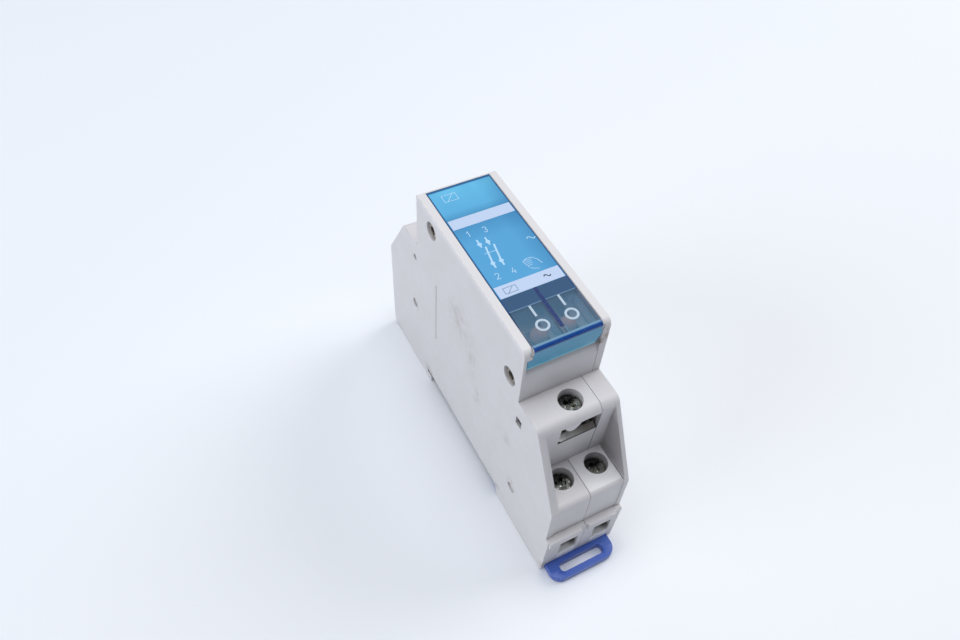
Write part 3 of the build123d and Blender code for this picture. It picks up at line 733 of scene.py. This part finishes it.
def screw_head(shape, x, y, low, high, radius):
    """Cheese head, still without its recess."""
    made = []
    for r, z in head_profile(radius, low, high):
        made.append(shape.ring([(x + a, y + b, z) for a, b in circle(r, CIRCLE_COUNT)]))
    for first, second in zip(made, made[1:]):
        shape.bridge(first, second)
    shape.cap(made[0], reverse=True)
    top = made[-1]
    rim = shape.ring([(x + a, y + b, high) for a, b in circle(radius - 0.34, CIRCLE_COUNT)])
    shape.bridge(top, rim)
    shape.cap(rim)


def cut_recess(obj, x, y, top, radius, turned):
    """Cut the driver slot and cross, turned by some degrees, into a screw head."""
    boxes = ((radius + 0.5, 0.3, 0.75), (1.25, 0.52, 1.1), (0.52, 1.25, 1.1))   # half sizes and depth
    aim = (cos(radians(turned)), sin(radians(turned)))
    tools = []
    for half_x, half_y, depth in boxes:
        cutter = Shape()
        floor = 0.82 if depth > 1 else 1.0      # the cross tapers and the slot does not
        corners = []
        for a, b in ((-1, -1), (1, -1), (1, 1), (-1, 1)):
            corners.append((a * half_x * aim[0] - b * half_y * aim[1],
                            a * half_x * aim[1] + b * half_y * aim[0]))
        cutter.loft([
            [(x + a * floor, y + b * floor, top - depth) for a, b in corners],
            [(x + a, y + b, top + 0.3) for a, b in corners],
        ])
        data = bpy.data.meshes.new("cutter")
        bmesh.ops.recalc_face_normals(cutter.mesh, faces=cutter.mesh.faces)
        cutter.mesh.to_mesh(data)
        cutter.mesh.free()
        tool = bpy.data.objects.new("cutter", data)
        bpy.context.scene.collection.objects.link(tool)
        tools.append(tool)
        cut = obj.modifiers.new("cut", "BOOLEAN")
        cut.operation = "DIFFERENCE"
        cut.solver = "EXACT"
        cut.object = tool
    bake_modifiers(obj)
    for tool in tools:
        bpy.data.objects.remove(tool)


def bake_modifiers(obj):
    """Replace a piece's mesh by its modified one."""
    graph = bpy.context.evaluated_depsgraph_get()
    data = bpy.data.meshes.new_from_object(obj.evaluated_get(graph))
    obj.modifiers.clear()
    obj.data = data


def make_screw(name, x, y, head, shank, turned, neck=None):
    """Whole screw that replaces a CAD screw. head, shank and neck are (low, high)."""
    solid = Shape()
    screw_head(solid, x, y, head[0], head[1], HEAD_RADIUS)
    obj = solid.finish(name + "_head", BODY_OF[name], "screw_nickel", smooth=28)
    cut_recess(obj, x, y, head[1], HEAD_RADIUS, turned)
    for face in obj.data.polygons:
        face.use_smooth = True
    obj.data.set_sharp_from_angle(angle=radians(28))
    rod = Shape()
    thread(rod, x, y, shank[0], shank[1], crest=1.75, root=1.42)
    if neck:
        rod.loft([[(x + a, y + b, z) for a, b in circle(1.25, 24)] for z in neck])
    rod.finish(name + "_thread", BODY_OF[name], "screw_nickel", smooth=50)
    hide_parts(name)


def make_screws():
    """Load and coil screws at both ends, each with its slot turned its own way."""
    turns = {("bottom", "left"): 68, ("bottom", "right"): 24, ("top", "left"): -35, ("top", "right"): 80}
    coil_turns = {"bottom": 38, "top": -12}
    for end, sign in ENDS:
        y = sign * LOWER_Y
        for side in SIDES:
            make_screw(f"load_screw_{end}_{side}", LOWER_X[side], y, head=(18.85, 20.6), shank=(9.5, 18.9),
                       turned=turns[end, side])
        make_screw(f"coil_screw_{end}", UPPER_X, sign * UPPER_Y, head=(36.2, 38.2), shank=(30.4, 35.1),
                   turned=coil_turns[end], neck=(35.05, 36.3))


def make_rivets():
    """Tubular rivets: a straight tube whose ends are rolled over into a rim."""
    shape = Shape()
    # half of the outline: distance from the middle plane and radius
    outer = [(8.62, 0.95), (8.66, 1.15), (8.6, 1.55), (8.42, 1.85), (8.15, 1.95), (8.0, 1.9), (8.0, 1.5)]
    for y, z in RIVETS_YZ:
        profile = [(-a, r) for a, r in outer] + [(a, r) for a, r in reversed(outer)]
        profile += [(8.3, 0.9), (-8.3, 0.9)]
        rings = [shape.ring([(a, y + p, z + q) for p, q in circle(r, 36)]) for a, r in profile]
        for first, second in zip(rings, rings[1:] + rings[:1]):
            shape.bridge(first, second)
    obj = shape.finish("rolled_rivets", "housing", "rivet_steel", smooth=60)
    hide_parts("housing_rivets")


def helix(radius, low, high, turns, steps=28, closed=0.0):
    """Points of a compression spring along Z, with flattened end coils."""
    points = []
    count = int(turns * steps)
    for i in range(count + 1):
        share = i / count
        angle = 2 * pi * turns * share
        flat = closed / turns
        rise = min(max((share - flat) / (1 - 2 * flat), 0.0), 1.0) if closed else share
        points.append((radius * cos(angle), radius * sin(angle), low + (high - low) * rise))
    return points


def make_springs():
    """Springs as drawn wire; the two that work between bodies get meshes of their own."""
    back = Shape()
    coil = helix(3.85, 13.35, 22.7, 6, closed=0.75)
    back.tube([(MID_X + a, b, c) for a, b, c in coil], 0.3)
    obj = back.finish("return_spring_wire", "housing", "spring_steel", smooth=80)
    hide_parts("return_spring")
    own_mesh(obj)

    seat_y, axis_z = -30.9, -2.05           # of the clip's spring, which lies along Y
    clip = Shape()
    coil = helix(0.72, 0.15, 8.65, 9, steps=20, closed=0.9)
    clip.tube([(MID_X + a, seat_y + c, axis_z + b) for a, b, c in coil], 0.15, sides=8)
    obj = clip.finish("clip_spring_wire", "housing", "spring_steel", smooth=80)
    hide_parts("clip_spring")
    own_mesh(obj)

    for side in SIDES:
        wire = Shape()
        coil = helix(1.35, 34.8, 38.3, 5, steps=24, closed=0.8)
        wire.tube([(LOWER_X[side] + a, b, c) for a, b, c in coil], 0.2, sides=8)
        obj = wire.finish(f"contact_spring_wire_{side}", "carrier", "spring_steel", smooth=80)
        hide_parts(f"contact_spring_{side}")


def rounded_rectangle(half_x, half_y, radius, steps=6):
    """Points round a rectangle with round corners, without a doubled end."""
    points = []
    for quarter, (sx, sy) in enumerate(((1, 1), (-1, 1), (-1, -1), (1, -1))):
        for i in range(steps + 1):
            t = pi / 2 * (quarter + i / steps)
            points.append((sx * (half_x - radius) + radius * cos(t),
                           sy * (half_y - radius) + radius * sin(t)))
    return points


def make_winding():
    """Outer layer of the coil as one long wire over a plain inner pack."""
    wire = 0.17                             # radius
    low, high = 4.75, 18.65
    half_x, half_y = 6.9, 10.2
    bore = 5.42
    turns = int((high - low) / (2 * wire))
    loop = rounded_rectangle(half_x - wire, half_y - wire, 4.8)
    path = []
    for turn in range(turns):
        for i, (x, y) in enumerate(loop):
            rise = wire + (high - low - 2 * wire) * (turn + i / len(loop)) / turns
            path.append((MID_X + x, y, low + rise))
    shape = Shape()
    shape.tube(path, wire, sides=5)
    obj = shape.finish("winding_wire", "housing", "copper_wire", smooth=80)

    pack = Shape()
    outer = rounded_rectangle(half_x - 2 * wire, half_y - 2 * wire, 4.6)
    inner = [(bore * cos(atan2(y, x)), bore * sin(atan2(y, x))) for x, y in outer]
    bottom, top = low + 0.05, high - 0.05
    rings = []
    for line, z in ((outer, bottom), (outer, top), (inner, top), (inner, bottom)):
        rings.append(pack.ring([(MID_X + x, y, z) for x, y in line]))
    for first, second in zip(rings, rings[1:] + rings[:1]):
        pack.bridge(first, second)
    pack.finish("winding_pack", "housing", "copper_wire", smooth=40)
    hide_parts("coil_winding")


# ---------------------------------------------------------------- small additions
def make_tongue(end, sign):
    """Curved plastic tongue that guards the wire slot of an upper terminal."""
    shape = Shape()
    rings = []
    inner, outer = sign * 28.95, sign * 29.75
    top, root, drop = 38.0, 37.75, 3.1
    steps = 16
    for step in range(steps + 1):
        share = step / steps
        x = -3.0 + 4.5 * share
        low = root - drop * sin(pi * share) ** 0.7 if 0 < share < 1 else root
        rings.append([(x, inner, top), (x, outer, top), (x, outer, low - 0.05), (x, inner, low)])
    shape.loft(rings)
    shape.finish(f"slot_tongue_{end}", "housing", "housing_grey", smooth=50, material=GUARD_WHITE)


def make_slot_sheet(end, sign):
    """Sheet that lines the sill of an upper terminal's wire slot, curled up at its left end, with a painted
    glint there and painted shade towards the right.
    """
    shape = Shape()
    sill = 32.42
    profile = ((28.95, 0.55), (29.88, 0.0), (29.96, 0.08), (29.88, 0.2), (28.95, 0.85))
    rings = []
    for step in range(15):
        x = -3.85 + step * 0.61
        curl = 0.75 * max(0.0, (-2.9 - x) / 0.95) ** 2
        rings.append([(x, sign * y, sill + z + curl) for y, z in profile])
    shape.loft(rings)
    shape.finish(f"slot_sheet_{end}", "housing", "clamp_nickel", smooth=40, material=SILL_TIN_GLINT_AND_SHADE)


# ---------------------------------------------------------------- stage
def make_stage():
    """Pale floor and soft light from both sides, stronger on the right."""
    bpy.ops.mesh.primitive_plane_add(size=6.0, location=(0, 0, FLOOR_Z * MM))
    floor = bpy.context.object
    floor.name = "floor"
    floor.data.materials.append(floor_finish().material)

    scene = bpy.context.scene
    scene.view_settings.view_transform = "Standard"
    world = bpy.data.worlds.new("studio")
    scene.world = world
    world.use_nodes = True
    background = world.node_tree.nodes["Background"]
    background.inputs["Color"].default_value = (0.90, 0.94, 1.0, 1.0)
    background.inputs["Strength"].default_value = 0.17

    # name, place and size in metres, power, colour
    lights = (
        ("left", (-1.05, 0.10, 0.40), 0.80, 5.2, (0.94, 0.97, 1.0)),
        ("right", (0.85, 0.10, 0.75), 0.80, 5.6, (1.0, 0.985, 0.97)),
        ("over", (-0.05, 0.10, 1.20), 0.90, 7.3, (0.96, 0.98, 1.0)),
    )
    for name, place, size, power, colour in lights:
        data = bpy.data.lights.new(name, "AREA")
        data.shape = "DISK"
        data.size = size
        data.energy = power
        data.color = colour
        lamp = bpy.data.objects.new(name, data)
        scene.collection.objects.link(lamp)
        lamp.location = place
        aim = Vector((0, 0, 0.02)) - Vector(place)
        lamp.rotation_euler = aim.to_track_quat("-Z", "Y").to_euler()


def make_camera():
    """Camera of the photograph, solved from the edges of the cap, shoulders and wings."""
    azimuth, elevation, roll = radians(-30.694), radians(51.006), radians(4.079)
    back = Vector((sin(azimuth) * cos(elevation), -cos(azimuth) * cos(elevation), sin(elevation)))
    right = Vector((cos(azimuth), sin(azimuth), 0))
    up = back.cross(right)
    across = cos(roll) * right + sin(roll) * up
    upward = -sin(roll) * right + cos(roll) * up
    turn = Matrix((across, upward, back)).transposed()
    data = bpy.data.cameras.new("camera")
    data.sensor_width = 36.0
    data.lens = 29.717
    data.clip_start = 0.01
    camera = bpy.data.objects.new("camera", data)
    bpy.context.scene.collection.objects.link(camera)
    place = Vector((-57.678, -88.392, 164.124)) * MM
    camera.matrix_world = Matrix.Translation(place) @ turn.to_4x4()
    bpy.context.scene.camera = camera


make_camera()
make_stage()
dress_cad()
window_print()
make_screws()
make_rivets()
make_springs()
make_winding()
for end_name, end_sign in ENDS:
    make_tongue(end_name, end_sign)
    make_slot_sheet(end_name, end_sign)
